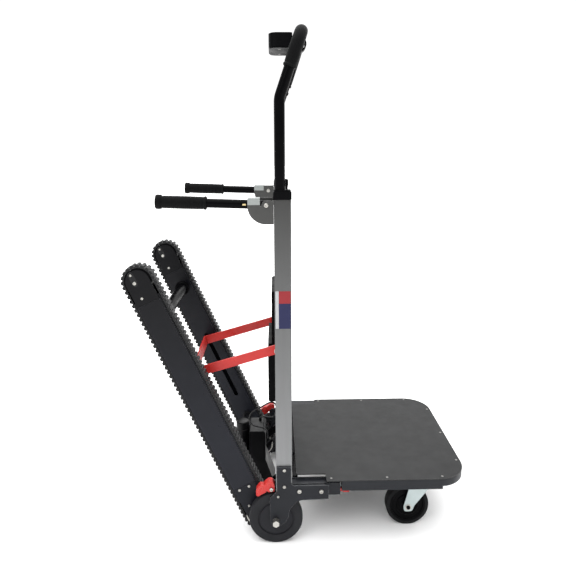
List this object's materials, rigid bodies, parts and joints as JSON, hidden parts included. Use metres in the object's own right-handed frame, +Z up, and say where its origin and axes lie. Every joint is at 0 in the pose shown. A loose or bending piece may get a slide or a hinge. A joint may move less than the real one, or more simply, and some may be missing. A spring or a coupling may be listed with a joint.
{
  "type": "stair chair",
  "caption": "Powered stair-climbing platform trolley with twin rubber tracks, twin masts, push handle, folding lift handles and a wheeled deck.",
  "frame": {"origin": "middle of the whole object's footprint box, on the floor that the wheels stand on", "axes": "+X forward from the masts over the deck, +Y to the left, +Z up"},
  "size_m": [0.9648, 0.542, 1.437],
  "materials": {
    "grey_paint": "satin grey paint",
    "slate_paint": "satin dark slate",
    "track_alloy": "satin dark slate anodised",
    "black_metal": "satin black",
    "black_plastic": "matte black",
    "wheel_rubber": "matte dark grey",
    "belt_rubber": "matte black",
    "grip_rubber": "matte black",
    "deck_skin": "matte black fine grain",
    "red_paint": "satin red",
    "zinc": "bright zinc",
    "steel": "bright steel",
    "brass": "satin brass",
    "lead_rubber": "satin black"
  },
  "bodies": {
    "frame": {"mast_right": "grey_paint", "mast_collar_right": "black_plastic", "foot_plate_outer_right": "slate_paint", "foot_plate_inner_right": "slate_paint", "axle_bolt_right": "steel", "deck_rail_right": "slate_paint", "caster_plate_right": "black_metal", "lift_bracket_right": "grey_paint", "mast_left": "grey_paint", "mast_collar_left": "black_plastic", "foot_plate_outer_left": "slate_paint", "foot_plate_inner_left": "slate_paint", "axle_bolt_left": "steel", "deck_rail_left": "slate_paint", "caster_plate_left": "black_metal", "lift_bracket_left": "grey_paint", "rear_crossmember": "black_metal", "battery_pack": "black_plastic", "controller_housing": "black_plastic", "deck_board": "deck_skin", "deck_frame": "slate_paint", "yoke_shaft": "steel", "battery_lead": "lead_rubber", "battery_connector": "black_plastic"},
    "push_handle_unit": {"push_handle": "black_metal", "push_grip": "grip_rubber", "control_box": "black_plastic"},
    "drive_switch": {"drive_switch": "black_plastic"},
    "track_unit": {"track_beam_right": "track_alloy", "track_beam_left": "track_alloy", "track_belt_right": "belt_rubber", "track_belt_left": "belt_rubber", "track_cross_tube": "black_metal", "drive_motor": "black_metal", "gearbox": "black_metal", "motor_lead": "lead_rubber", "motor_connector": "black_plastic"},
    "drive_shaft": {"drive_shaft": "steel"},
    "track_yoke": {"track_yoke": "red_paint"},
    "main_wheel_right": {"main_wheel_right": "wheel_rubber"},
    "caster_fork_right": {"caster_fork_right": "zinc"},
    "caster_wheel_right": {"caster_wheel_right": "wheel_rubber"},
    "track_idler_right": {"track_idler_right": "black_plastic"},
    "lift_handle_right": {"lift_handle_right": "grip_rubber"},
    "lift_lock_right": {"lift_lock_right": "brass"},
    "clamp_knob_right": {"clamp_knob_right": "black_plastic"},
    "brake_pedal_right": {"brake_pedal_right": "red_paint"},
    "deck_latch_right": {"deck_latch_right": "red_paint"},
    "main_wheel_left": {"main_wheel_left": "wheel_rubber"},
    "caster_fork_left": {"caster_fork_left": "zinc"},
    "caster_wheel_left": {"caster_wheel_left": "wheel_rubber"},
    "track_idler_left": {"track_idler_left": "black_plastic"},
    "lift_handle_left": {"lift_handle_left": "grip_rubber"},
    "lift_lock_left": {"lift_lock_left": "brass"},
    "clamp_knob_left": {"clamp_knob_left": "black_plastic"},
    "brake_pedal_left": {"brake_pedal_left": "red_paint"},
    "deck_latch_left": {"deck_latch_left": "red_paint"}
  },
  "joints": [
    {"name": "track_fold", "type": "hinge", "parent": "frame", "child": "track_unit", "pos_m": [-0.11576, 0, 0.062], "axis": [0, 1, 0], "range_deg": [0, 20.6]},
    {"name": "yoke_swing", "type": "hinge", "parent": "frame", "child": "track_yoke", "pos_m": [-0.05756, 0, 0.54], "axis": [0, -1, 0], "range_deg": [0, 57]},
    {"name": "track_drive", "type": "hinge", "parent": "track_unit", "child": "drive_shaft", "pos_m": [-0.11576, 0, 0.062], "axis": [0, 1, 0], "continuous": true},
    {"name": "handle_height", "type": "slide", "parent": "frame", "child": "push_handle_unit", "axis": [0, 0, -1], "range_m": [0, 0.18]},
    {"name": "drive_switch_rock", "type": "hinge", "parent": "push_handle_unit", "child": "drive_switch", "pos_m": [-0.04856, 0, 1.4325], "axis": [0, 1, 0], "range_deg": [-7, 7], "stiffness_Nm_per_rad": 0.6},
    {"name": "main_wheel_spin_right", "type": "hinge", "parent": "frame", "child": "main_wheel_right", "pos_m": [-0.06756, -0.23375, 0.0762], "axis": [0, 1, 0], "continuous": true},
    {"name": "caster_swivel_right", "type": "hinge", "parent": "frame", "child": "caster_fork_right", "pos_m": [0.36144, -0.165, 0.15], "axis": [0, 0, 1], "continuous": true},
    {"name": "caster_wheel_spin_right", "type": "hinge", "parent": "caster_fork_right", "child": "caster_wheel_right", "pos_m": [0.32344, -0.165, 0.0635], "axis": [0, 1, 0], "continuous": true},
    {"name": "track_idler_spin_right", "type": "hinge", "parent": "track_unit", "child": "track_idler_right", "pos_m": [-0.43547, -0.189, 0.76029], "axis": [0, 1, 0], "continuous": true},
    {"name": "lift_handle_fold_right", "type": "hinge", "parent": "frame", "child": "lift_handle_right", "pos_m": [-0.08656, -0.236, 0.97], "axis": [0, -1, 0], "range_deg": [0, 90]},
    {"name": "lift_lock_press_right", "type": "slide", "parent": "lift_handle_right", "child": "lift_lock_right", "axis": [0, 1, 0], "range_m": [0, 0.0025], "stiffness_N_per_m": 600, "springref_m": -0.003},
    {"name": "clamp_knob_turn_right", "type": "hinge", "parent": "frame", "child": "clamp_knob_right", "pos_m": [-0.03256, -0.234, 1.02], "axis": [0, 0, 1], "range_deg": [0, 270]},
    {"name": "brake_pedal_press_right", "type": "hinge", "parent": "frame", "child": "brake_pedal_right", "pos_m": [-0.07996, -0.234, 0.1665], "axis": [0, -1, 0], "range_deg": [0, 5], "stiffness_Nm_per_rad": 6, "springref_deg": -2.86},
    {"name": "deck_latch_pull_right", "type": "slide", "parent": "frame", "child": "deck_latch_right", "axis": [1, 0, 0], "range_m": [0, 0.012], "stiffness_N_per_m": 500, "springref_m": -0.004},
    {"name": "main_wheel_spin_left", "type": "hinge", "parent": "frame", "child": "main_wheel_left", "pos_m": [-0.06756, 0.23375, 0.0762], "axis": [0, 1, 0], "continuous": true},
    {"name": "caster_swivel_left", "type": "hinge", "parent": "frame", "child": "caster_fork_left", "pos_m": [0.36144, 0.165, 0.15], "axis": [0, 0, 1], "continuous": true},
    {"name": "caster_wheel_spin_left", "type": "hinge", "parent": "caster_fork_left", "child": "caster_wheel_left", "pos_m": [0.32344, 0.165, 0.0635], "axis": [0, 1, 0], "continuous": true},
    {"name": "track_idler_spin_left", "type": "hinge", "parent": "track_unit", "child": "track_idler_left", "pos_m": [-0.43547, 0.189, 0.76029], "axis": [0, 1, 0], "continuous": true},
    {"name": "lift_handle_fold_left", "type": "hinge", "parent": "frame", "child": "lift_handle_left", "pos_m": [-0.08656, 0.236, 0.97], "axis": [0, -1, 0], "range_deg": [0, 90]},
    {"name": "lift_lock_press_left", "type": "slide", "parent": "lift_handle_left", "child": "lift_lock_left", "axis": [0, -1, 0], "range_m": [0, 0.0025], "stiffness_N_per_m": 600, "springref_m": -0.003},
    {"name": "clamp_knob_turn_left", "type": "hinge", "parent": "frame", "child": "clamp_knob_left", "pos_m": [-0.03256, 0.234, 1.02], "axis": [0, 0, 1], "range_deg": [0, 270]},
    {"name": "brake_pedal_press_left", "type": "hinge", "parent": "frame", "child": "brake_pedal_left", "pos_m": [-0.07996, 0.234, 0.1665], "axis": [0, -1, 0], "range_deg": [0, 5], "stiffness_Nm_per_rad": 6, "springref_deg": -2.86},
    {"name": "deck_latch_pull_left", "type": "slide", "parent": "frame", "child": "deck_latch_left", "axis": [1, 0, 0], "range_m": [0, 0.012], "stiffness_N_per_m": 500, "springref_m": -0.004}
  ],
  "couplings": [
    {"joint": "yoke_swing", "follows": "track_fold", "ratio": 2.7603},
    {"joint": "track_idler_spin_right", "follows": "track_drive", "ratio": 1},
    {"joint": "track_idler_spin_left", "follows": "track_drive", "ratio": 1}
  ]
}
